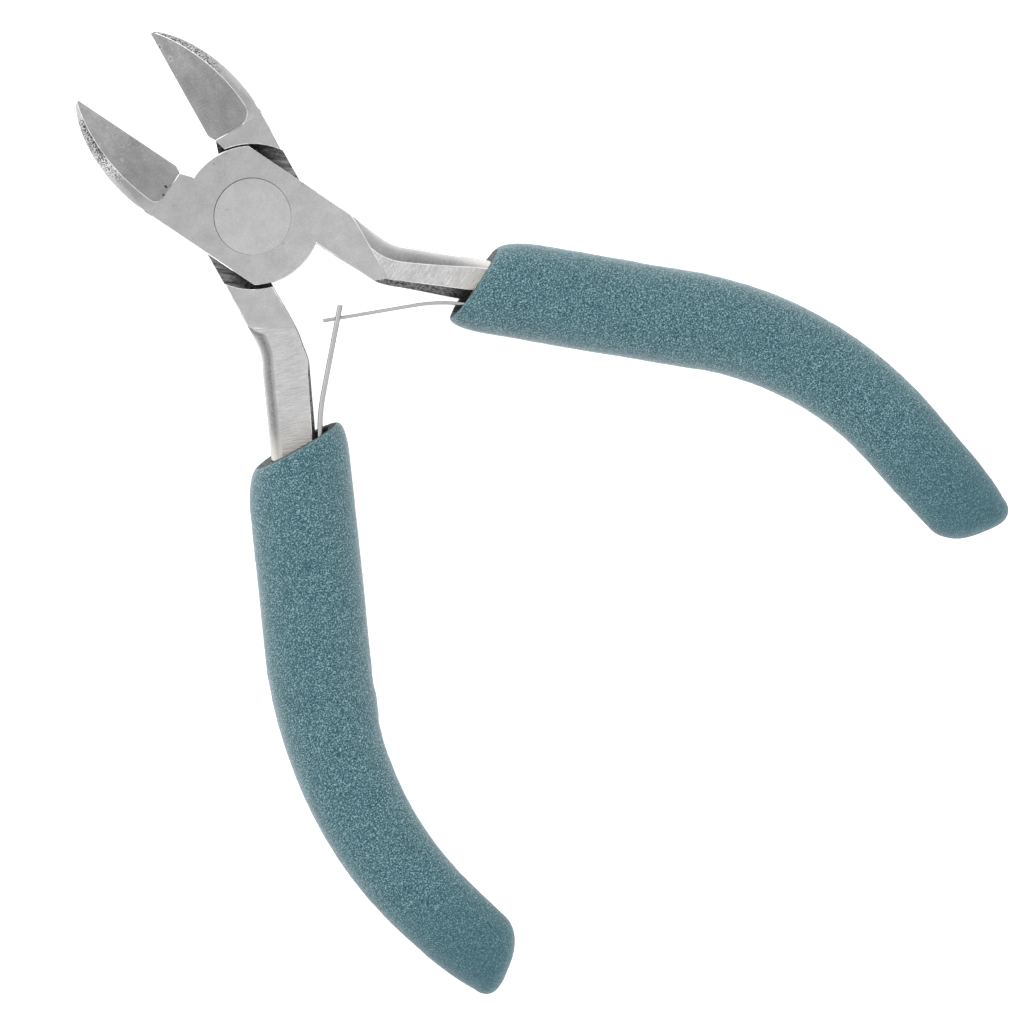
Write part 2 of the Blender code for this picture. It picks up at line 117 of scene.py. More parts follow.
# Handles
NECK_HALF = 2.8 * MM
SHANK_START_Y = -4.0 * MM
BEND_RADIUS = 9.0 * MM
ELBOW_Y = -54.0 * MM
GRIP_END_Y = -99.5 * MM
CORE_END_Y = -93.0 * MM
CORE_TAIL_WIDTH = 4.2 * MM
FACET_TILT = math.radians(4.5)
BAND_DROP = 2.0 * MM
BAND_STEPS = 12
BAND_MIN = 0.12 * MM
PLATE_END_Y = -9.0 * MM
CUT_FLOOR_Z = 5.0 * MM  # the lowest that the shank's facet may reach
CHAMFER_DROP = 1.4  # fall of the inner chamfer for each unit of width
SLEEVED_Y = -36.0 * MM  # from here on the bar has its thinner section
SLEEVED_RISE = 0.35 * MM
SLEEVED_HIGH_Z = 5.9 * MM
SHANK_LOW_Z = 0.75 * MM

# Foam sleeves
MOUTH_Y = -28.0 * MM
MOUTH_LEAN = 0.15
MOUTH_ROUND = 1.3 * MM
MOUTH_ROUND_LENGTH = 4.5 * MM
GRIP_SHIFT = 0.4 * MM
GRIP_TAIL_WIDTH = 10.1 * MM
GRIP_DEPTH_RATIO = 0.93
TAIL_ROUND = 1.6 * MM
TAIL_ROUND_LENGTH = 9.0 * MM
END_SKEW = math.radians(19)
KINK_Y = -59 * MM
KINK_LENGTH = 2.5 * MM
END_LENGTH = 3.2 * MM
GRIP_SIDES = 132
GRIP_ANGLES = [math.tau * (i + 0.5) / GRIP_SIDES for i in range(GRIP_SIDES)]
BORE_END_Y = -60 * MM
BORE_GAP = 0.06 * MM
BORE_POWER = 0.5  # 1 makes the bore an ellipse, and less squares it
SPRING_ROOM = 1.75 * MM

# Leaf springs
LEAF_HEIGHT = 4.4 * MM
LEAF_SEAT_GAP = 0.2 * MM
LEAF_ROOT_Y = -34.0 * MM
LEAF_EASE = 3.6 * MM
LEAF_HALF = 0.35 * MM  # half the CAD leaf's thickness
LEAF_CHAMFER = 0.28  # of half the thickness
TONGUE_HEIGHT = 1.6 * MM
TONGUE_LENGTH = 4.4 * MM
SLOT_HEIGHT = 2.3 * MM
SLOT_LENGTH = 4.0 * MM
SLOT_BRIDGE = 0.9 * MM

# Finishes. Colours and levels are linear. A shade is painted shade: it lists how dark a surface is painted
# against the upward part of its direction, and a dot has its scale, size, rarity and level.
STRIP_SHADE = ((0.0, 0.0), (0.25, 0.0), (0.4, 0.8), (0.85, 0.9), (0.97, 0.0))
BLADE_DOTS = ((560, 0.27, 0.51, 0.44), (560, 0.17, 0.51, 0.06), (1500, 0.22, 0.57, 0.42))
FOAM_PORE = (0.009, 0.034, 0.046)
FOAM_TEAL = (0.044, 0.112, 0.134)
FOAM_PALE = (0.25, 0.38, 0.40)
FOAM_CLOUD = (0.07, 0.145, 0.16)
FOAM_SHADED_END = (0.034, 0.09, 0.11)
CUT_FOAM = ((0.03, 0.042, 0.045), (0.15, 0.175, 0.17))

# The two halves differ in many small ways. Lines and corners are (x, y) in the closed frame, x outward.
Side = namedtuple(
    "Side",
    "name out facet_width neck_x bend_y shank_width sweep elbow_radius tail_angle grip_width facet_line"
    " leaf_station_y leaf_tip leaf_thickness facet_corner band crease inner_chamfer neck_trim"
    " corner_y inner_edge_mm kink strip_half flank_power band_start"
    " flank_level flank_shade pits_level pits_y streak_y brush_slant band_shade band_level band_start_share"
    " crease_fade_x band_bevel",
)
FRONT = Side(
    name="front",
    out=1,
    facet_width=5.5 * MM,
    neck_x=4.45 * MM,
    bend_y=-17.6 * MM,
    shank_width=5.4 * MM,
    sweep=math.radians(24.2),
    elbow_radius=44 * MM,
    tail_angle=math.radians(-14.5),
    grip_width=12.2 * MM,
    facet_line=((7.5 * MM, -9.7 * MM), (3.95 * MM, -16.8 * MM)),
    leaf_station_y=-24.6 * MM,
    leaf_tip=(-5.96 * MM, -14.75 * MM),
    leaf_thickness=0.42 * MM,
    facet_corner=1.1 * MM,
    band=(2.15 * MM, 1.1 * MM),
    crease=0.32,
    inner_chamfer=1.45 * MM,
    neck_trim=0.12 * MM,
    corner_y=-17.05 * MM,
    inner_edge_mm=((-11.0, 0.0), (-15.7, -0.11), (-17.3, 0.02), (-19.4, -0.2), (-27.0, 0.0)),
    kink=0.0,
    strip_half=7.1 * MM,
    flank_power=0.72,
    band_start=2.4 * MM,
    flank_level=0.30,
    flank_shade=0.1,
    pits_level=0.30,
    pits_y=(15.5 * MM, 19.5 * MM),
    streak_y=(19.7 * MM, 25.0 * MM),
    brush_slant=math.radians(26),
    band_shade=((0.0, 0.0), (0.4, 0.05), (0.7, 0.4), (0.92, 0.85), (0.965, 0.85), (0.98, 0.0)),
    band_level=0.13,
    band_start_share=0.4,
    crease_fade_x=4.25 * MM,
    band_bevel=0.24,
)
BACK = Side(
    name="back",
    out=-1,
    facet_width=6.1 * MM,
    neck_x=4.85 * MM,
    bend_y=-16.6 * MM,
    shank_width=5.8 * MM,
    sweep=math.radians(23.4),
    elbow_radius=49 * MM,
    tail_angle=math.radians(-19.0),
    grip_width=13.3 * MM,
    facet_line=((7.1 * MM, -12.2 * MM), (2.6 * MM, -14.7 * MM)),
    leaf_station_y=-25.3 * MM,
    leaf_tip=(-4.22 * MM, -15.15 * MM),
    leaf_thickness=0.62 * MM,
    facet_corner=2.0 * MM,
    band=(1.65 * MM, 1.5 * MM),
    crease=0.12,
    inner_chamfer=0.45 * MM,
    neck_trim=0.35 * MM,
    corner_y=-18.3 * MM,
    inner_edge_mm=((-13.0, 0.0), (-16.6, -0.14), (-18.3, 0.2), (-28.0, 0.0)),
    kink=0.3 * MM,
    strip_half=7.43 * MM,
    flank_power=0.76,
    band_start=1.3 * MM,
    flank_level=0.38,
    flank_shade=0.3,
    pits_level=0.21,
    pits_y=(17.0 * MM, 20.0 * MM),
    streak_y=None,
    brush_slant=math.radians(-8),
    band_shade=((0.0, 0.3), (0.3, 0.3), (0.55, 0.9), (0.84, 1.0), (0.95, 0.4), (0.985, 0.0)),
    band_level=0.17,
    band_start_share=1.0,
    crease_fade_x=5.9 * MM,
    band_bevel=0.0,
)
Station = namedtuple("Station", "x y heading")


# Helpers


def ramp(value, start, end):
    """0 before start, 1 after end, and a smooth step between them."""
    t = share((value - start) / (end - start))
    return t * t * (3 - 2 * t)


def mix(a, b, t):
    return a + (b - a) * t


def spread(start, end, count):
    return [mix(start, end, i / (count - 1)) for i in range(count)]


def share(value):
    """The value kept between 0 and 1."""
    return min(max(value, 0.0), 1.0)


def arc_points(centre, radius, start_deg, end_deg, count):
    angles = [math.radians(a) for a in spread(start_deg, end_deg, count)]
    return [(centre[0] + radius * math.cos(a), centre[1] + radius * math.sin(a)) for a in angles]


def closed_turn(side):
    """The turn from rest to the half's closed frame."""
    return -side.out * OPEN_ANGLE / 2


def rest_turn(side):
    return Matrix.Rotation(-closed_turn(side), 4, "Z")


def loft(rings):
    """A closed body through rings of equal length, capped at both ends."""
    bm = bmesh.new()
    rows = [[bm.verts.new(point) for point in ring] for ring in rings]
    count = len(rings[0])
    for low, high in zip(rows, rows[1:]):
        for i in range(count):
            j = (i + 1) % count
            bm.faces.new((low[i], low[j], high[j], high[i]))
    bm.faces.new(rows[0])
    bm.faces.new(rows[-1])
    return bm


def placed(name, data):
    """A new object in the scene."""
    obj = bpy.data.objects.new(name, data)
    bpy.context.scene.collection.objects.link(obj)
    return obj


def add_object(name, bm, turn=None):
    """An object from a bmesh, cleaned and turned, which uses the bmesh up."""
    bmesh.ops.remove_doubles(bm, verts=bm.verts, dist=1e-8)
    bmesh.ops.recalc_face_normals(bm, faces=bm.faces)
    mesh = bpy.data.meshes.new(name)
    bm.to_mesh(mesh)
    bm.free()
    if turn is not None:
        mesh.transform(turn)
    return placed(name, mesh)


def combined(name, base, tools):
    """One mesh from a base body and (tool, operation) pairs, whose objects are then removed."""
    for tool, operation in tools:
        modifier = base.modifiers.new(tool.name, "BOOLEAN")
        modifier.operation = operation
        modifier.solver = "EXACT"
        modifier.object = tool
    bpy.context.view_layer.update()
    evaluated = base.evaluated_get(bpy.context.evaluated_depsgraph_get())
    mesh = bpy.data.meshes.new_from_object(evaluated)
    for obj in [base] + [tool for tool, _ in tools]:
        bpy.data.objects.remove(obj)
    mesh.name = name
    return placed(name, mesh)


def turned(profile, segments):
    rings = []
    for radius, z in profile:
        angles = [math.tau * i / segments for i in range(segments)]
        rings.append([(radius * math.cos(a), radius * math.sin(a), z) for a in angles])
    return loft(rings)


# Handle centre line


def handle_path(side, fine=1):
    """Stations down the middle of the steel handle; heading is the turn outward from straight back."""
    turn = side.sweep
    tangent = BEND_RADIUS * math.tan(turn / 2)
    bend_start = side.bend_y + tangent
    stations = [Station(side.neck_x, y, 0.0) for y in spread(SHANK_START_Y, bend_start, 6 * fine)]
    for angle in spread(0.0, turn, 6 * fine)[1:]:
        x = side.neck_x + BEND_RADIUS * (1 - math.cos(angle))
        stations.append(Station(x, bend_start - BEND_RADIUS * math.sin(angle), angle))
    last = stations[-1]
    for y in spread(last.y, ELBOW_Y, 14 * fine)[1:]:
        stations.append(Station(last.x + (last.y - y) * math.tan(turn), y, turn))
    elbow = stations[-1]
    for angle in spread(turn, side.tail_angle, 14 * fine)[1:]:
        x = elbow.x + side.elbow_radius * (math.cos(angle) - math.cos(turn))
        y = elbow.y + side.elbow_radius * (math.sin(angle) - math.sin(turn))
        stations.append(Station(x, y, angle))
    tail = stations[-1]
    for y in spread(tail.y, GRIP_END_Y, 6 * fine)[1:]:
        x = tail.x + (tail.y - y) * math.tan(side.tail_angle)
        stations.append(Station(x, y, side.tail_angle))
    return stations


def path_at(side, y):
    """The station where the handle's centre line passes y."""
    stations = handle_path(side)
    for near, far in zip(stations, stations[1:]):
        if near.y >= y >= far.y:
            t = (near.y - y) / (near.y - far.y)
            return Station(mix(near.x, far.x, t), y, mix(near.heading, far.heading, t))
    raise ValueError("y is beyond the handle")


def across(side, station, offset, z, along=0.0):
    """A point beside a station: offset outward, and along the handle's run."""
    x = station.x + offset * math.cos(station.heading) + along * math.sin(station.heading)
    y = station.y + offset * math.sin(station.heading) - along * math.cos(station.heading)
    return Vector((side.out * x, y, z))


def core_width(side, y):
    return mix(side.shank_width, CORE_TAIL_WIDTH, ramp(y, ELBOW_Y, CORE_END_Y))


def core_heights(y):
    """Lower and upper face of the steel handle."""
    inside = ramp(y, MOUTH_Y, SLEEVED_Y)
    low = mix(JOIN, SHANK_LOW_Z, ramp(y, -12 * MM, -20 * MM)) + SLEEVED_RISE * inside
    return low, mix(THICKNESS - JOIN, SLEEVED_HIGH_Z, inside)


def inner_shift(side, y):
    """How far the inner edge stands off the bend's arc, which gives it a corner."""
    for (near_y, near), (far_y, far) in zip(side.inner_edge_mm, side.inner_edge_mm[1:]):
        if near_y * MM >= y >= far_y * MM:
            return mix(near, far, (near_y * MM - y) / ((near_y - far_y) * MM)) * MM
    return 0.0


def past_facet_line(side, station, offset):
    """Distance beyond the line where the shank's ground facet starts, beside a station."""
    (start_x, start_y), (end_x, end_y) = side.facet_line
    length = math.hypot(end_x - start_x, end_y - start_y)
    x = station.x + offset * math.cos(station.heading) - start_x
    y = station.y + offset * math.sin(station.heading) - start_y
    return (y * (end_x - start_x) - x * (end_y - start_y)) / length


def facet_depth(side, station, offset):
    """How far the shank's ground facet lies below the front face beside a station."""
    return max(past_facet_line(side, station, offset), 0.0) * math.tan(FACET_TILT)


def core_section(side, station):
    """Flat top and bottom, a rounded band on the outer side and a rough chamfer on the inner side."""
    y = station.y
    half = mix(NECK_HALF - JOIN, core_width(side, y) / 2, ramp(y, PLATE_END_Y, -16 * MM))
    inner = half + inner_shift(side, y)
    outer = half - side.neck_trim * (1 - ramp(y, -13.5 * MM, -20 * MM))
    low, high = core_heights(y)
    start = side.facet_line[0][1]
    opened = share((start - 0.1 * MM - y) / side.band_start)
    along = share((side.bend_y - y) / (side.bend_y - MOUTH_Y))
    full_band = mix(side.band[0], side.band[1], along ** 1.5)
    at_edge = past_facet_line(side, station, outer)
    room = MM * at_edge / (at_edge - past_facet_line(side, station, outer - MM))
    band = max(min(full_band * opened, room), BAND_MIN)
    drop = BAND_DROP * band / full_band
    facet_z = THICKNESS - facet_depth(side, station, outer - band)
    ridge_z = min(high, max(facet_z + 0.01 * MM, CUT_FLOOR_Z))
    started = ramp(y, side.corner_y + 0.1 * MM, side.corner_y - 0.8 * MM)
    chamfer = mix(0.1 * MM, mix(0.5, 1.0, along) * side.inner_chamfer, started)
    chamfer = mix(chamfer, 0.6 * MM, ramp(y, MOUTH_Y - 2 * MM, SLEEVED_Y))
    cut = max(min(facet_depth(side, station, -inner), high - CUT_FLOOR_Z), 0.0)
    points = [(-inner, high - cut - CHAMFER_DROP * chamfer)]
    points += [(-inner + chamfer + cut / CHAMFER_DROP, high), (outer - band, high)]
    for u in spread(0.0, 1.0, BAND_STEPS):
        fall = side.crease * u + (1 - side.crease) * (1 - math.sqrt(1 - u * u))
        points.append((outer - band * (1 - u), ridge_z - drop * fall))
    rounding = mix(BAND_MIN, 1.2 * MM, opened)
    points += arc_points((outer - rounding, low + rounding), rounding, 0, -90, 7)
    points += [(-inner + chamfer, low), (-inner, low + CHAMFER_DROP * chamfer)]
    return [across(side, station, offset, z) for offset, z in points]


# Steel halves


def joint_outline(side):
    """The flat plate of the joint: a disc with straight sides that carries the jaw's root."""
    handle_side = side.neck_x + NECK_HALF - side.neck_trim
    throat_end = math.degrees(math.acos(handle_side / THROAT_RADIUS))
    crotch_start = math.degrees(math.acos(handle_side / CROTCH_RADIUS))
    crotch_end = math.degrees(math.acos(side.strip_half / CROTCH_RADIUS)) - 180
    outline = [(-HEEL_INSET, JAW_ROOT_Y), (-SHOULDER_INSET, POCKET_RADIUS)]
    outline += arc_points((0, 0), THROAT_RADIUS, 90.8, throat_end, 40)
    outline += arc_points((0, 0), CROTCH_RADIUS, -crotch_start, crotch_end, 60)
    outline.append((-side.strip_half, JAW_ROOT_Y - 0.06 * MM))
    outline.append((side.facet_corner - side.facet_width, JAW_ROOT_Y))
    return [(side.out * x, y) for x, y in outline]


def jaw_fall(y):
    """1 at the jaw's root and 0 at its point, along a circle's quarter."""
    u = max(y - JAW_CURVE_Y, 0.0) / (JAW_POINT_Y - JAW_CURVE_Y)
    return 1 - u * u


def jaw_slope(side):
    return (THICKNESS - JOIN - BACK_RELIEF) / side.facet_width


def jaw_section(side, y):
    """One slice across the jaw: ground facet, ridge, rounded flank and flat back."""
    flank = (side.strip_half - JOIN) * jaw_fall(y) ** side.flank_power
    ridge_run = side.facet_width * jaw_fall(y) ** RIDGE_POWER
    reach = (y - JAW_ROOT_Y) / (JAW_TIP_Y - JAW_ROOT_Y)
    back = BACK_RELIEF + BACK_RISE * max(reach, 0.0)
    slope = jaw_slope(side)
    edge = mix(HEEL_INSET, EDGE_INSET, share((y - JAW_ROOT_Y) / (EDGE_START_Y - JAW_ROOT_Y)))
    ridge = ridge_run
    corner = side.facet_corner
    if y < JAW_ROOT_Y + corner:
        drop = min(JAW_ROOT_Y + corner - y, corner)
        ridge = ridge_run - corner + math.sqrt(corner ** 2 - drop ** 2)
    top = back + slope * ridge_run
    depth = mix(FLANK_DROP_START, FLANK_DROP_SHARE * (top - back), ramp(y, JAW_ROOT_Y, FLANK_DROP_Y))
    chamfer = BACK_CHAMFER * jaw_fall(y)
    points = [(-edge, back), (-edge, back + slope * edge), (-ridge, back + slope * ridge), (-ridge, top)]
    for i in range(1, FLANK_STEPS + 1):
        angle = math.pi / 2 * i / FLANK_STEPS
        points.append((-mix(ridge, flank, math.sin(angle)), top - depth * (1 - math.cos(angle))))
    points += [(-flank, back + chamfer), (-flank + chamfer, back)]
    return [(side.out * x, y, z) for x, z in points]


def jaw_body(side):
    ys = [JAW_ROOT_Y - 0.5 * MM]
    corner = side.facet_corner
    ys += [JAW_ROOT_Y + 0.01 * MM + corner * t ** 1.6 for t in spread(0.0, 1.0, 10)]
    ys += spread(JAW_ROOT_Y + corner, JAW_TIP_Y, 40)[1:]
    return loft([jaw_section(side, y) for y in ys])


def shank_facet_cutter(side):
    """A wedge whose underside tilts down from the facet line toward the handle."""
    start, end = (Vector((side.out * x, y, 0)) for x, y in side.facet_line)
    along = (end - start).normalized()
    down_handle = Vector((-along.y * side.out, along.x * side.out, 0))
    low, high = THICKNESS - JOIN, THICKNESS + 2 * MM
    run = 22 * MM
    fall = run * math.tan(FACET_TILT)
    rings = []
    for point in (start - along * 8 * MM, end + along * 10 * MM):
        far = point + down_handle * run
        rings.append([(*point.xy, low), (*far.xy, low - fall), (*far.xy, high), (*point.xy, high)])
    return loft(rings)


def rivet_profile(gap, overrun):
    """(radius, z) of the rivet from back face to front face, or of its hole when a gap is given."""
    face = RIVET_FACE_RADIUS + gap
    shank = RIVET_SHANK_RADIUS + gap
    profile = [(face, 0.0), (shank, COUNTERSINK_DEPTH)]
    profile += [(shank, THICKNESS - COUNTERSINK_DEPTH), (face, THICKNESS)]
    if overrun:
        profile = [(face, -overrun), *profile, (face, THICKNESS + overrun)]
    return profile


def cut_levels(side):
    """Bottom and top of what is cut from a half where the other half's disc lies."""
    if side is FRONT:
        return -MM, MID_Z + LAP_GAP / 2
    return MID_Z - LAP_GAP / 2, THICKNESS + MM


def heel_cutter(side):
    """Cuts the shoulder's throat corner away beside the other half's disc."""
    (top_x, top_y), (low_x, low_y) = HEEL_CUT
    outline = [(-top_x, top_y), (-low_x, low_y), (MM, low_y), (MM, top_y)]
    return loft([[(side.out * x, y, z) for x, y in outline] for z in cut_levels(side)])


def half_mesh(side):
    outline = joint_outline(side)
    plate = add_object("plate", loft([[(x, y, z) for x, y in outline] for z in (0.0, THICKNESS)]))
    stations = [s for s in handle_path(side, 2) if s.y > CORE_END_Y]
    handle = add_object("handle", loft([core_section(side, s) for s in stations]))
    jaw = add_object("jaw", jaw_body(side))
    facet = add_object("facet", shank_facet_cutter(side))
    pocket = add_object("pocket", turned([(POCKET_RADIUS, z) for z in cut_levels(side)], 180))
    place = rest_turn(side).inverted() @ Matrix.Translation((-RIVET_SHIFT[0], -RIVET_SHIFT[1], 0))
    hole = add_object("hole", turned(rivet_profile(RIVET_GAP, MM), 128), place)
    heel = add_object("heel", heel_cutter(side))
    tools = [(handle, "UNION"), (jaw, "UNION")]
    tools += [(tool, "DIFFERENCE") for tool in (facet, pocket, heel, hole)]
    return combined(side.name + "_half_finished", plate, tools)


GROUND, BLADE, FORGED, SHANK, SCALE, LAP, EDGE = range(7)

# Shares of the full bevel
FACET_LINE_BEVEL = 0.22
FINE_BEVEL = 0.15
ROOT_BEVEL = 0.35
DISC_BEVEL = 0.55
OUTSIDE_BEVEL = 0.4
PLAIN_BEVEL = 0.05


def face_finish(side, centre, normal):
    """Which finish a face of a half has, from its place and direction in the half's frame."""
    x, y = side.out * centre.x, centre.y
    outward = side.out * normal.x
    reach = math.hypot(x, y)
    if reach < RIVET_FACE_RADIUS + 0.3 * MM and abs(normal.z) < 0.9:
        return LAP
    if abs(centre.z - MID_Z) < 0.3 * MM and abs(normal.z) > 0.9:
        return LAP
    if abs(reach - POCKET_RADIUS) < 0.1 * MM and (normal.x * centre.x + normal.y * centre.y) < 0:
        return LAP
    if y > JAW_ROOT_Y + 0.005 * MM:
        if outward > 0.4 and normal.z > 0.3 and -x < side.facet_width + 0.1 * MM:
            return BLADE
        if normal.z < -0.9 or outward > 0.9:
            return GROUND
        return FORGED
    if y > PLATE_END_Y or normal.z > 0.9995:
        return GROUND
    station = path_at(side, max(y, CORE_END_Y + MM))
    inner = (x - station.x) * math.cos(station.heading) < -side.shank_width * 0.25
    if y < side.corner_y and inner and normal.z < 0.97:
        return SCALE
    return SHANK


def edge_softness(side, edge):
    """Share of the full bevel that an edge of a half gets."""
    if len(edge.link_faces) != 2:
        return 0.0
    middle = (edge.verts[0].co + edge.verts[1].co) / 2
    x, y = side.out * middle.x, middle.y
    reach = math.hypot(x, y)
    finishes = {face.material_index for face in edge.link_faces}
    turn = math.degrees(edge.calc_face_angle(0.0))
    if y < -40 * MM or reach < RIVET_FACE_RADIUS + 0.4 * MM:
        return 0.0
    if finishes == {LAP} or (LAP in finishes and abs(middle.z - MID_Z) < 0.3 * MM):
        return 0.0
    if y > JAW_ROOT_Y + 0.3 * MM and x > -0.75 * MM:
        return 0.0
    if finishes == {GROUND, SHANK} and middle.z > MID_Z and turn > 2:
        return FACET_LINE_BEVEL
    if finishes == {SHANK} and middle.z > MID_Z and turn > 14 and y < PLATE_END_Y:
        return side.band_bevel
    if turn < 20:
        return 0.0
    if BLADE in finishes:
        return FINE_BEVEL if y > JAW_ROOT_Y + 0.02 * MM else ROOT_BEVEL
    if abs(y - JAW_ROOT_Y) < 0.1 * MM:
        on_facet = middle.z > MID_Z and -x < side.facet_width - side.facet_corner
        return ROOT_BEVEL if on_facet else 0.0
    if reach < THROAT_RADIUS + 0.1 * MM and y > 2 * MM and x > -0.2 * MM:
        return DISC_BEVEL
    if SCALE in finishes:
        return FINE_BEVEL
    if y < PLATE_END_Y:
        return 0.0
    if LAP in finishes or x < -side.strip_half + 0.1 * MM:
        return OUTSIDE_BEVEL
    return PLAIN_BEVEL


def add_half(side, finishes):
    half = half_mesh(side)
    mesh = half.data
    mesh.materials.clear()
    for finish in finishes:
        mesh.materials.append(finish)
    bm = bmesh.new()
    bm.from_mesh(mesh)
    bmesh.ops.dissolve_limit(bm, angle_limit=math.radians(0.4), verts=bm.verts, edges=bm.edges)
    bmesh.ops.dissolve_degenerate(bm, dist=0.02 * MM, edges=bm.edges)
    bm.normal_update()
    for face in bm.faces:
        face.material_index = face_finish(side, face.calc_center_median(), face.normal)
    weights = bm.edges.layers.float.new("bevel_weight_edge")
    for edge in bm.edges:
        edge[weights] = edge_softness(side, edge)
    bm.to_mesh(mesh)
    bm.free()
    mesh.transform(rest_turn(side))
    mesh.shade_smooth()
    mesh.set_sharp_from_angle(angle=math.radians(16))
    bevel = half.modifiers.new("bevelled edges", "BEVEL")
    bevel.limit_method = "WEIGHT"
    bevel.width = BEVEL
    bevel.use_clamp_overlap = False
    bevel.segments = 1
    # the bevels take the edge finish, whose bright colour paints highlights along the edges
    bevel.material = EDGE
    flat = half.modifiers.new("flat faces", "WEIGHTED_NORMAL")
    flat.keep_sharp = True
    flat.weight = 100
    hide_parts(side.name + "_half")
    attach(half, side.name + "_body")


# Leaf springs


def leaf_seat(side, y):
    """The leaf's centre where it lies along the handle's inner face."""
    offset = -(side.shank_width / 2 + LEAF_SEAT_GAP + LEAF_HALF)
    return across(side, path_at(side, y), offset, MID_Z)


def leaf_line(side):
    """Centre line of a leaf in its half's frame: seated root, eased bend and straight run to the tip."""
    root = leaf_seat(side, LEAF_ROOT_Y)
    bend = leaf_seat(side, side.leaf_station_y)
    tip = Vector((side.out * side.leaf_tip[0], side.leaf_tip[1], MID_Z))
    before = bend + (root - bend).normalized() * LEAF_EASE
    after = bend + (tip - bend).normalized() * LEAF_EASE
    points = [root.lerp(before, t) for t in spread(0.0, 1.0, 5)[:-1]]
    points += [before * (1 - t) ** 2 + bend * 2 * t * (1 - t) + after * t * t for t in spread(0.0, 1.0, 13)]
    run = (tip - after).length
    step = [1 - (TONGUE_LENGTH + 0.08 * MM) / run, 1 - (TONGUE_LENGTH - 0.02 * MM) / run]
    points += [after.lerp(tip, t) for t in sorted(spread(0.0, 1.0, 25)[1:] + step)]
    return points, bend, tip


def leaf_ring(point, direction, half_height, thickness):
    """A flat upright section with narrow chamfers."""
    sideways = Vector((-direction.y, direction.x, 0)) * thickness / 2
    cut = LEAF_CHAMFER
    low, high = -half_height + cut * thickness / 2, half_height - cut * thickness / 2
    section = [(1, low), (1, high), (1 - cut, half_height), (cut - 1, half_height)]
    section += [(-1, high), (-1, low), (cut - 1, -half_height), (1 - cut, -half_height)]
    return [point + sideways * across_part + Vector((0, 0, z)) for across_part, z in section]


def add_leaf(side, node, slotted, finish):
    points, bend, tip = leaf_line(side)
    run = (tip - bend).normalized()
    rings = []
    for i, point in enumerate(points):
        near = points[max(i - 1, 0)]
        far = points[min(i + 1, len(points) - 1)]
        reach = (tip - point).length
        narrow = 0.0 if slotted else 1 - ramp(reach, TONGUE_LENGTH, TONGUE_LENGTH + 0.06 * MM)
        height = mix(LEAF_HEIGHT, TONGUE_HEIGHT, narrow) / 2
        rings.append(leaf_ring(point, (far - near).normalized(), height, side.leaf_thickness))
    leaf = add_object(side.name + "_leaf_strip", loft(rings))
    if slotted:
        near = tip - run * (SLOT_BRIDGE + SLOT_LENGTH)
        far = tip - run * SLOT_BRIDGE
        sideways = Vector((-run.y, run.x, 0)) * MM
        up = Vector((0, 0, SLOT_HEIGHT / 2))
        corners = [near - sideways, near + sideways, far + sideways, far - sideways]
        cutter = add_object("slot", loft([[p - up for p in corners], [p + up for p in corners]]))
        leaf = combined(node + "_strip", leaf, [(cutter, "DIFFERENCE")])
    leaf.name = node + "_strip"
    turn = rest_turn(side)
    leaf.data.transform(turn)
    leaf.data.materials.clear()
    leaf.data.materials.append(finish)
    leaf.data.shade_smooth()
    leaf.data.set_sharp_from_angle(angle=math.radians(50))
    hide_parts(node)
    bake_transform(leaf)


# Foam sleeves


def sleeve_width(side, y):
    beyond_elbow = share((ELBOW_Y - y) / (ELBOW_Y - GRIP_END_Y))
    return mix(side.grip_width, GRIP_TAIL_WIDTH, beyond_elbow ** 0.7)


def outer_point(side, station, angle, size):
    """A point of the sleeve's outside; the outer side curves in near the end."""
    half_width = sleeve_width(side, station.y) / 2
    near_end = share((GRIP_END_Y + TAIL_ROUND_LENGTH - station.y) / TAIL_ROUND_LENGTH)
    trim = TAIL_ROUND * near_end ** 2 * max(math.cos(angle), 0.0)
    bulge = side.kink * math.exp(-(((station.y - KINK_Y) / KINK_LENGTH) ** 2)) * max(-math.cos(angle), 0.0)
    offset = -GRIP_SHIFT + (math.cos(angle) * half_width - trim) * size - bulge
    z = MID_Z + math.sin(angle) * half_width * size * GRIP_DEPTH_RATIO
    return offset, z


def mouth_slant(station, offset, z, trim):
    return (offset * math.tan(station.heading) + (z - MID_Z) * MOUTH_LEAN) * trim


def mouth_trim(y):
    return 1 - ramp(y, MOUTH_Y - 2 * MM, MOUTH_Y - 9 * MM)


def outside_ring(side, station, size=None):
    half_width = sleeve_width(side, station.y) / 2
    if size is None:
        from_mouth = min((MOUTH_Y - station.y) / MOUTH_ROUND_LENGTH, 1.0)
        size = 1 - MOUTH_ROUND * (1 - math.sqrt(1 - (1 - from_mouth) ** 2)) / half_width
    ring = []
    for angle in GRIP_ANGLES:
        offset, z = outer_point(side, station, angle, size)
        slant = mouth_slant(station, offset, z, mouth_trim(station.y))
        ring.append(across(side, station, offset, z, slant))
    return ring


def bore_ring(side, station):
    """The hole through the sleeve: close round the bar, with room for the leaf on the inner side."""
    low, high = core_heights(station.y)
    high -= 0.55 * MM * (1 - ramp(station.y, MOUTH_Y, MOUTH_Y - 6 * MM))
    core_half = core_width(side, station.y) / 2
    room = mix(SPRING_ROOM, BORE_GAP, ramp(station.y, LEAF_ROOT_Y - MM, LEAF_ROOT_Y - 5 * MM))
    left, right = -core_half - room, core_half + BORE_GAP
    ring = []
    for angle in GRIP_ANGLES:
        across_part = math.copysign(abs(math.cos(angle)) ** BORE_POWER, math.cos(angle))
        up_part = math.copysign(abs(math.sin(angle)) ** BORE_POWER, math.sin(angle))
        offset = (left + right) / 2 + across_part * (right - left) / 2
        z = (low + high) / 2 + up_part * ((high - low) / 2 + BORE_GAP)
        slant = mouth_slant(station, offset, z, mouth_trim(station.y))
        ring.append(across(side, station, offset, z, slant))
    return ring


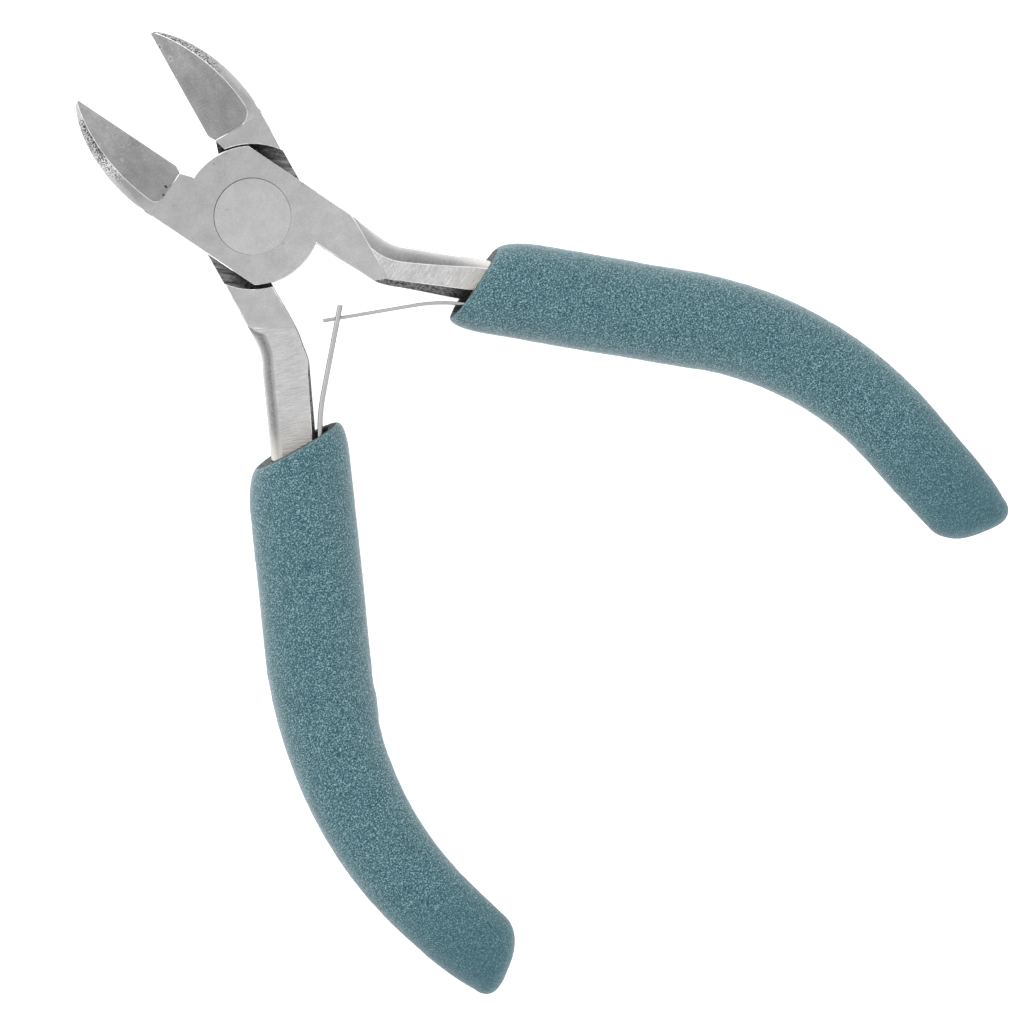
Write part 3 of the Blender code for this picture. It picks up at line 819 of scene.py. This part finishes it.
def end_rings(side):
    """Rings that close the sleeve: a rounded end, longer on the outer side."""
    last = path_at(side, GRIP_END_Y + END_LENGTH)
    rings = []
    for step in range(1, 15):
        angle = math.pi / 2 * step / 15
        size = math.cos(angle) ** 0.7
        ring = []
        for turn in GRIP_ANGLES:
            offset, z = outer_point(side, last, turn, size)
            skew = (offset + GRIP_SHIFT) * math.tan(END_SKEW)
            ring.append(across(side, last, offset, z, END_LENGTH * math.sin(angle) + skew))
        rings.append(ring)
    return rings


def tail_skew(y):
    """How much of the end's skew a ring takes, so that the rings turn gradually."""
    return ramp(y, GRIP_END_Y + END_LENGTH + 10 * MM, GRIP_END_Y + END_LENGTH)


def skewed_ring(side, station):
    part = tail_skew(station.y)
    if not part:
        return outside_ring(side, station)
    ring = []
    for angle in GRIP_ANGLES:
        offset, z = outer_point(side, station, angle, 1.0)
        skew = (offset + GRIP_SHIFT) * math.tan(END_SKEW) * part
        ring.append(across(side, station, offset, z, skew))
    return ring


def granular(point, normal, strength):
    """Height of the foam's surface: slow unevenness, soft dimples and small grains."""
    slow = noise.noise(point * 110) * 0.10 * MM
    dimples = noise.noise(point * 700) * 0.035 * MM
    grains = noise.noise(point * 2300) * 0.030 * MM
    return point + normal * (slow + dimples + grains) * strength


def add_sleeve(side, finish, cut_finish):
    mouth = path_at(side, MOUTH_Y)
    near = [path_at(side, MOUTH_Y - MM * back) for back in (0.05, 0.2, 0.5, 0.9, 1.4, 2, 2.7, 3.5)]
    ys = spread(MOUTH_Y - 4.3 * MM, GRIP_END_Y + END_LENGTH, 150)
    outside = [outside_ring(side, s) for s in near] + [skewed_ring(side, path_at(side, y)) for y in ys]
    outside += end_rings(side)
    bore_stations = [path_at(side, y) for y in spread(MOUTH_Y - 0.3 * MM, BORE_END_Y, 24)]
    bore = [bore_ring(side, mouth)] + [bore_ring(side, s) for s in bore_stations]
    rim = outside_ring(side, mouth)
    cut = [[a.lerp(b, t) for a, b in zip(rim, bore[0])] for t in spread(0.03, 0.97, 9)]
    rings = bore[::-1] + cut[::-1] + [rim] + outside
    bm = loft(rings)
    bmesh.ops.recalc_face_normals(bm, faces=bm.faces)
    bm.normal_update()
    bm.verts.ensure_lookup_table()
    wall_start = len(bore) * GRIP_SIDES
    for i, vert in enumerate(bm.verts):
        strength = 1.0 if i > wall_start + len(cut) * GRIP_SIDES else 0.6 if i >= wall_start else 0.0
        vert.co = granular(vert.co, vert.normal, strength)
    bm.faces.ensure_lookup_table()
    for face in bm.faces[: (len(bore) + len(cut) - 1) * GRIP_SIDES]:
        face.material_index = 1
    sleeve = add_object(side.name + "_foam", bm, rest_turn(side))
    mesh = sleeve.data
    mesh.materials.append(finish)
    mesh.materials.append(cut_finish)
    mesh.shade_smooth()
    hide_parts(side.name + "_grip_sleeve")
    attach(sleeve, side.name + "_body")


# Materials


class Nodes:
    """Short calls for building a node tree."""

    def __init__(self, tree):
        self.tree = tree

    def add(self, kind, **settings):
        node = self.tree.nodes.new(kind)
        for key, value in settings.items():
            setattr(node, key, value)
        return node

    def link(self, source, target):
        self.tree.links.new(source, target)

    def coordinates(self, turn=0.0, scale=(1.0, 1.0, 1.0)):
        """Object coordinates, turned about Z and then scaled."""
        source = self.add("ShaderNodeTexCoord")
        turned_frame = self.add("ShaderNodeMapping")
        turned_frame.inputs["Rotation"].default_value = (0.0, 0.0, turn)
        scaled = self.add("ShaderNodeMapping")
        scaled.inputs["Scale"].default_value = scale
        self.link(source.outputs["Object"], turned_frame.inputs["Vector"])
        self.link(turned_frame.outputs["Vector"], scaled.inputs["Vector"])
        return scaled.outputs["Vector"]

    def part(self, vector, axis):
        node = self.add("ShaderNodeSeparateXYZ")
        self.link(vector, node.inputs["Vector"])
        return node.outputs[axis]

    def noise(self, vector, scale, detail=2.0, roughness=0.5):
        node = self.add("ShaderNodeTexNoise")
        node.inputs["Scale"].default_value = scale
        node.inputs["Detail"].default_value = detail
        node.inputs["Roughness"].default_value = roughness
        self.link(vector, node.inputs["Vector"])
        return node.outputs["Fac"]

    def cells(self, vector, scale):
        node = self.add("ShaderNodeTexVoronoi")
        node.inputs["Scale"].default_value = scale
        self.link(vector, node.inputs["Vector"])
        return node.outputs["Distance"]

    def rings(self, vector, scale):
        node = self.add("ShaderNodeTexWave", wave_type="RINGS", rings_direction="Z")
        node.inputs["Scale"].default_value = scale
        node.inputs["Distortion"].default_value = 2.0
        node.inputs["Detail"].default_value = 2.0
        self.link(vector, node.inputs["Vector"])
        return node.outputs["Fac"]

    def spread(self, value, low, high, out_low=0.0, out_high=1.0):
        node = self.add("ShaderNodeMapRange")
        node.inputs["From Min"].default_value = low
        node.inputs["From Max"].default_value = high
        node.inputs["To Min"].default_value = out_low
        node.inputs["To Max"].default_value = out_high
        self.link(value, node.inputs["Value"])
        return node.outputs["Result"]

    def levels(self, value, stops):
        """A curve through (position, level) stops."""
        node = self.add("ShaderNodeValToRGB")
        elements = node.color_ramp.elements
        while len(elements) < len(stops):
            elements.new(0.5)
        for element, (position, level) in zip(elements, stops):
            element.position = position
            element.color = (level, level, level, 1.0)
        self.link(value, node.inputs["Fac"])
        return node.outputs["Color"]

    def blend(self, amount, first, second):
        node = self.add("ShaderNodeMix", data_type="RGBA")
        for name, value in (("A", first), ("B", second)):
            socket = next(s for s in node.inputs if s.name == name and s.type == "RGBA")
            if isinstance(value, tuple):
                socket.default_value = (*value, 1.0)
            else:
                self.link(value, socket)
        factor = next(s for s in node.inputs if s.name == "Factor" and s.type == "VALUE")
        if isinstance(amount, float):
            factor.default_value = amount
        else:
            self.link(amount, factor)
        return next(s for s in node.outputs if s.type == "RGBA")

    def maths(self, operation, first, second):
        node = self.add("ShaderNodeMath", operation=operation)
        for i, value in enumerate((first, second)):
            if isinstance(value, float):
                node.inputs[i].default_value = value
            else:
                self.link(value, node.inputs[i])
        return node.outputs["Value"]

    def times(self, first, second):
        return self.maths("MULTIPLY", first, second)

    def upward(self):
        """The upward part of the surface's direction."""
        source = self.add("ShaderNodeTexCoord")
        return self.part(source.outputs["Normal"], "Z")

    def bump(self, height, distance, strength=1.0):
        node = self.add("ShaderNodeBump")
        node.inputs["Distance"].default_value = distance
        node.inputs["Strength"].default_value = strength
        self.link(height, node.inputs["Height"])
        return node.outputs["Normal"]


def grey(level, warm=0.0):
    return (level, level * (1 - 0.4 * warm), level * (1 - warm))


def new_material(name, rough, metallic=1.0):
    """A material, bare steel unless told otherwise, with its nodes and its shader."""
    mat = bpy.data.materials.new(name)
    mat.use_nodes = True
    shader = mat.node_tree.nodes["Principled BSDF"]
    shader.inputs["Metallic"].default_value = metallic
    shader.inputs["Roughness"].default_value = rough
    return mat, Nodes(mat.node_tree), shader


def paint(nodes, shader, colour, height, depth, strength=1.0):
    """Links the colour and a bump of the given depth."""
    nodes.link(colour, shader.inputs["Base Color"])
    nodes.link(nodes.bump(height, depth, strength), shader.inputs["Normal"])


def mottled(nodes, vector, level, variation, grain):
    """Steel colour with slow clouds and fine grain."""
    clouds = nodes.spread(nodes.noise(vector, 420, detail=4.0, roughness=0.6), 0.3, 0.7)
    fine = nodes.spread(nodes.noise(vector, grain, roughness=0.7), 0.25, 0.75)
    both = nodes.maths("ADD", nodes.times(clouds, 0.45), nodes.times(fine, 0.55))
    return nodes.blend(both, grey(level - variation), grey(level + variation)), fine


def dotted(nodes, vector, scale, size, rarity):
    """1 in small scattered dots."""
    near = nodes.spread(nodes.cells(vector, scale), size * 0.6, size, 1.0, 0.0)
    place = nodes.spread(nodes.noise(vector, scale * 0.37, detail=0.0), rarity, rarity + 0.03)
    return nodes.times(near, place)


def ground_steel(name, level=0.52):
    """Finely ground face with a few spots, a little darker toward the jaws."""
    mat, nodes, shader = new_material(name, 0.38)
    flat = nodes.coordinates()
    colour, fine = mottled(nodes, flat, level, 0.11, 5600)
    colour = nodes.blend(dotted(nodes, flat, 760, 0.13, 0.55), colour, grey(level * 0.7))
    toward_jaws = nodes.spread(nodes.part(flat, "Y"), -9 * MM, 6 * MM, 0.0, 0.24)
    colour = nodes.blend(toward_jaws, colour, grey(0.3))
    nodes.link(nodes.spread(fine, 0.0, 1.0, 0.33, 0.44), shader.inputs["Roughness"])
    paint(nodes, shader, colour, fine, 0.006 * MM)
    return mat


def blade_steel(side):
    """Matte ground facet with faint circular marks and a few pits, painted lighter toward the root."""
    mat, nodes, shader = new_material(side.name + " blade facet", 0.52)
    flat = nodes.coordinates(closed_turn(side))
    colour, fine = mottled(nodes, flat, 0.305, 0.11, 4300)
    # painted light: the facet is painted lighter toward the root
    painted_light_at_root = nodes.spread(nodes.part(flat, "Y"), 16 * MM, 11 * MM, 0.0, 0.35)
    colour = nodes.blend(painted_light_at_root, colour, grey(0.5))
    marks = nodes.rings(flat, 700)
    patches = nodes.spread(nodes.noise(flat, 300), 0.45, 0.7)
    colour = nodes.blend(nodes.times(nodes.times(marks, patches), 0.16), colour, grey(0.5))
    for scale, size, rarity, level in BLADE_DOTS:
        colour = nodes.blend(dotted(nodes, flat, scale, size, rarity), colour, grey(level))
    height = nodes.maths("ADD", fine, nodes.times(marks, 0.3))
    paint(nodes, shader, colour, height, 0.012 * MM)
    return mat


def forged_steel(side):
    """Jaw flank: satin at the root and pitted toward the point; one side has a burnt streak."""
    mat, nodes, shader = new_material(side.name + " jaw flank", 0.46)
    flat = nodes.coordinates(closed_turn(side))
    y = nodes.part(flat, "Y")
    up = nodes.upward()
    ground, _ = mottled(nodes, flat, 0.475, 0.11, 5600)
    satin, fine = mottled(nodes, flat, side.flank_level, 0.3 * side.flank_level, 4200)
    colour = nodes.blend(nodes.spread(y, JAW_ROOT_Y, JAW_ROOT_Y + 3 * MM), ground, satin)
    grains = nodes.spread(nodes.noise(flat, 4800, detail=1.5, roughness=0.7), 0.42, 0.58)
    pitted = nodes.spread(y, *side.pits_y)
    pits = nodes.blend(grains, grey(0.08 * side.pits_level), grey(2.7 * side.pits_level))
    colour = nodes.blend(nodes.times(pitted, 0.9), colour, pits)
    # painted shade: the flank darkens as it turns away from straight up
    colour = nodes.blend(nodes.spread(up, 0.95, 0.5, 0.0, side.flank_shade), colour, grey(0.08))
    if side.streak_y:
        start, end = side.streak_y
        begun = nodes.spread(y, start - 0.3 * MM, start + 0.5 * MM)
        inside = nodes.times(begun, nodes.spread(y, end - 0.3 * MM, end, 1.0, 0.0))
        near_ridge = nodes.spread(up, 0.72, 0.93, 0.35, 1.0)
        burnt = nodes.blend(grains, grey(0.002), grey(0.12))
        colour = nodes.blend(nodes.times(inside, near_ridge), colour, burnt)
        colour = nodes.blend(nodes.spread(y, end - 0.2 * MM, end + 0.2 * MM), colour, grey(0.42))
    height = nodes.maths("ADD", nodes.times(grains, pitted), nodes.times(fine, 0.2))
    paint(nodes, shader, colour, height, 0.04 * MM)
    return mat


def shank_steel(side):
    """Top ground across the run; painted dark reflection on the rounded band; warmer close to the sleeve.
    """
    mat, nodes, shader = new_material(side.name + " shank", 0.4)
    flat = nodes.coordinates(closed_turn(side))
    run_turn = closed_turn(side) - side.out * side.sweep + side.brush_slant
    brushed = nodes.coordinates(run_turn, (0.09, 1.0, 1.0))
    y = nodes.part(flat, "Y")
    up = nodes.upward()
    colour, _ = mottled(nodes, flat, 0.50, 0.10, 4800)
    marks = nodes.spread(nodes.noise(brushed, 6500, roughness=0.6), 0.36, 0.64)
    top_marks = nodes.times(marks, nodes.spread(up, 0.95, 0.99))
    colour = nodes.blend(nodes.times(top_marks, 0.36), colour, grey(0.80))
    # painted dark reflection along the rounded band, set by the band's direction and weaker where it starts
    opened = nodes.spread(y, -13 * MM, -20 * MM, side.band_start_share, 1.0)
    painted_dark_reflection = nodes.times(nodes.levels(up, side.band_shade), opened)
    speckle = nodes.spread(nodes.noise(flat, 3400, roughness=0.7), 0.35, 0.65, 0.75, 1.0)
    colour = nodes.blend(nodes.times(painted_dark_reflection, speckle), colour, grey(side.band_level))
    near_sleeve = nodes.spread(y, -24.5 * MM, -29 * MM, 0.0, 0.8)
    colour = nodes.blend(near_sleeve, colour, grey(0.62, 0.1))
    paint(nodes, shader, colour, top_marks, 0.016 * MM)
    return mat


def scaled_steel(side):
    """Rough dark skin left on the inner chamfer, darkest beside the sleeve, partly from painted shadow."""
    mat, nodes, shader = new_material(side.name + " chamfer skin", 0.6)
    flat = nodes.coordinates(closed_turn(side))
    grains = nodes.spread(nodes.noise(flat, 2700, detail=3.0, roughness=0.7), 0.36, 0.64)
    colour = nodes.blend(grains, grey(0.055), grey(0.37))
    # beside the sleeve's mouth the chamfer is blackened: partly darker skin, partly painted shadow
    dark_skin_and_painted_shadow = nodes.spread(nodes.part(flat, "Y"), -25.6 * MM, -27.6 * MM, 0.0, 0.8)
    colour = nodes.blend(dark_skin_and_painted_shadow, colour, grey(0.03, 0.2))
    paint(nodes, shader, colour, grains, 0.08 * MM)
    return mat


def lap_steel(side):
    """Faces inside the joint: near-black painted shade, lighter and streaked along the outer sides."""
    mat, nodes, shader = new_material(side.name + " lap face", 0.5)
    turn = closed_turn(side)
    flat = nodes.coordinates(turn)
    grains = nodes.spread(nodes.noise(flat, 2600, roughness=0.6), 0.35, 0.7)
    # painted shade: the faces deep in the joint's recesses are near-black
    colour = nodes.blend(grains, grey(0.02), grey(0.10))
    sideways = nodes.maths("ABSOLUTE", nodes.part(flat, "X"), 0.0)
    # lighter and streaked toward the outer sides
    lighter_outer_sides = nodes.spread(sideways, 5.0 * MM, 6.7 * MM, 0.0, 0.85)
    streaks = nodes.coordinates(turn + math.radians(35), (0.15, 1.0, 1.0))
    lines = nodes.spread(nodes.noise(streaks, 2400, roughness=0.7), 0.38, 0.62)
    colour = nodes.blend(lighter_outer_sides, colour, nodes.blend(lines, grey(0.10), grey(0.36)))
    paint(nodes, shader, colour, grains, 0.03 * MM)
    return mat


def edge_steel(side):
    """Painted highlights on the bevelled edges; the line across the shank fades toward the inner side."""
    mat, nodes, shader = new_material(side.name + " painted edge highlight", 0.3)
    flat = nodes.coordinates(closed_turn(side))
    # painted highlight: the bevels are coloured near white, patchily
    patchy_highlight = nodes.spread(nodes.noise(flat, 1500, detail=3.0), 0.35, 0.6)
    colour = nodes.blend(patchy_highlight, grey(0.76), grey(1.0))
    outward = nodes.times(nodes.part(flat, "X"), float(side.out))
    fade_x = side.crease_fade_x
    inner = nodes.spread(outward, fade_x - 0.6 * MM, fade_x + 0.3 * MM, 1.0, 0.0)
    on_shank = nodes.spread(nodes.part(flat, "Y"), -11 * MM, -12 * MM)
    colour = nodes.blend(nodes.times(inner, on_shank), colour, grey(0.55))
    nodes.link(colour, shader.inputs["Base Color"])
    return mat


def strip_steel(name):
    """Bright rolled strip with painted shade on the chamfers."""
    mat, nodes, shader = new_material(name, 0.28)
    colour, fine = mottled(nodes, nodes.coordinates(), 0.56, 0.06, 5000)
    # painted shade: faces tilted away from straight up are darkened
    colour = nodes.blend(nodes.levels(nodes.upward(), STRIP_SHADE), colour, grey(0.16))
    paint(nodes, shader, colour, fine, 0.005 * MM)
    return mat


def foam_material(side):
    """Closed-cell foam: dark pores and pale grains over teal; grains even out and painted shade darkens the
    end.
    """
    mat, nodes, shader = new_material(side.name + " foam", 0.9, metallic=0.0)
    flat = nodes.coordinates()
    y = nodes.part(nodes.coordinates(closed_turn(side)), "Y")
    grains = nodes.noise(flat, 5600, detail=1.5, roughness=0.6)
    slow = nodes.spread(nodes.noise(flat, 330), 0.3, 0.7)
    colour = nodes.blend(nodes.spread(grains, 0.34, 0.50), FOAM_PORE, FOAM_TEAL)
    colour = nodes.blend(nodes.spread(grains, 0.52, 0.70), colour, FOAM_PALE)
    colour = nodes.blend(nodes.times(slow, 0.15), colour, FOAM_CLOUD)
    # toward the end the grains even out and painted shade darkens the foam
    colour = nodes.blend(nodes.spread(y, -82 * MM, -97 * MM, 0.0, 0.6), colour, FOAM_SHADED_END)
    nodes.link(nodes.spread(y, -60 * MM, -92 * MM, 0.44, 0.2), shader.inputs["Sheen Weight"])
    shader.inputs["Specular IOR Level"].default_value = 0.25
    shader.inputs["Sheen Roughness"].default_value = 0.45
    paint(nodes, shader, colour, grains, 0.1 * MM, 0.6)
    return mat


def cut_foam_material():
    """The sleeve's open cut face and bore: porous and grey-brown."""
    mat, nodes, shader = new_material("cut foam", 0.95, metallic=0.0)
    pores = nodes.spread(nodes.noise(nodes.coordinates(), 2600, roughness=0.7), 0.36, 0.64)
    paint(nodes, shader, nodes.blend(pores, *CUT_FOAM), pores, 0.2 * MM)
    return mat


def floor_material():
    mat, _, shader = new_material("pale floor", 0.9, metallic=0.0)
    shader.inputs["Base Color"].default_value = (*grey(0.93), 1.0)
    shader.inputs["Emission Color"].default_value = (*grey(1.0), 1.0)
    shader.inputs["Emission Strength"].default_value = 0.5
    return mat


# Stage

FLOOR_HALF = 1.6
SKY_LEVELS = ((0.0, 0.55), (0.25, 0.62), (0.6, 0.62), (0.9, 0.46), (1.0, 0.44))
SKY_STRENGTH = 1.8


def add_floor():
    low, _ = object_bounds()
    bm = bmesh.new()
    corners = ((-1, -1), (1, -1), (1, 1), (-1, 1))
    bm.faces.new([bm.verts.new((x * FLOOR_HALF, y * FLOOR_HALF, low.z)) for x, y in corners])
    floor = add_object("floor", bm)
    floor.data.materials.append(floor_material())
    return floor


def add_light(name, place, size, power):
    data = bpy.data.lights.new(name, "AREA")
    data.shape = "DISK"
    data.size = size
    data.energy = power
    light = placed(name, data)
    light.location = place
    aim = Vector((0.0, -0.05, 0.0)) - Vector(place)
    light.rotation_euler = aim.to_track_quat("-Z", "Y").to_euler()
    light.visible_camera = False


def add_world():
    """A bright ring of light round the horizon and a dimmer opening straight above."""
    world = bpy.data.worlds.new("studio")
    world.use_nodes = True
    bpy.context.scene.world = world
    nodes = Nodes(world.node_tree)
    background = world.node_tree.nodes["Background"]
    source = nodes.add("ShaderNodeTexCoord")
    height = nodes.part(source.outputs["Generated"], "Z")
    nodes.link(nodes.levels(height, SKY_LEVELS), background.inputs["Color"])
    background.inputs["Strength"].default_value = SKY_STRENGTH


def add_camera():
    """Straight above, with the nose toward the upper left."""
    nose_turn = math.radians(132.7)
    frame_width = 129.7 * MM
    centre = Vector((-1.22 * MM, -49.74 * MM, MID_Z))
    data = bpy.data.cameras.new("camera")
    data.lens = 1000
    camera = placed("camera", data)
    distance = frame_width * data.lens / data.sensor_width
    camera.location = centre + Vector((0.0, 0.0, distance))
    camera.rotation_euler = (0.0, 0.0, math.radians(90) - nose_turn)
    data.clip_start = 0.01
    data.clip_end = 20.0
    bpy.context.scene.camera = camera


def finish_cad_node(name, finish, width):
    """A CAD node that stays as it is gets a finish and softened edges."""
    node = frame["nodes"][name]
    node.data.materials.clear()
    node.data.materials.append(finish)
    if width:
        bevel = node.modifiers.new("bevelled edges", "BEVEL")
        bevel.limit_method = "ANGLE"
        bevel.angle_limit = math.radians(30)
        bevel.width = width
        bevel.segments = 2


def half_finishes(side):
    """Finishes in the order of the face finish numbers."""
    others = (blade_steel, forged_steel, shank_steel, scaled_steel, lap_steel, edge_steel)
    return [ground_steel(side.name + " ground face")] + [make(side) for make in others]


def build():
    strip = strip_steel("spring strip")
    cut_foam = cut_foam_material()
    for side in (FRONT, BACK):
        add_half(side, half_finishes(side))
        add_sleeve(side, foam_material(side), cut_foam)
        finish_cad_node(side.name + "_spring_rivet", strip, 0.08 * MM)
    finish_cad_node("pivot_rivet", ground_steel("rivet face", 0.58), 0.0)
    add_leaf(FRONT, "front_tongue_leaf", False, strip)
    add_leaf(BACK, "back_slotted_leaf", True, strip)
    add_floor()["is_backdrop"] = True
    add_world()
    add_light("key", (-0.1, 0.85, 0.75), 0.5, 7.0)
    add_light("fill", (0.1, -0.95, 0.6), 0.6, 4.0)
    bpy.context.scene.view_settings.view_transform = "Standard"
    add_camera()


build()
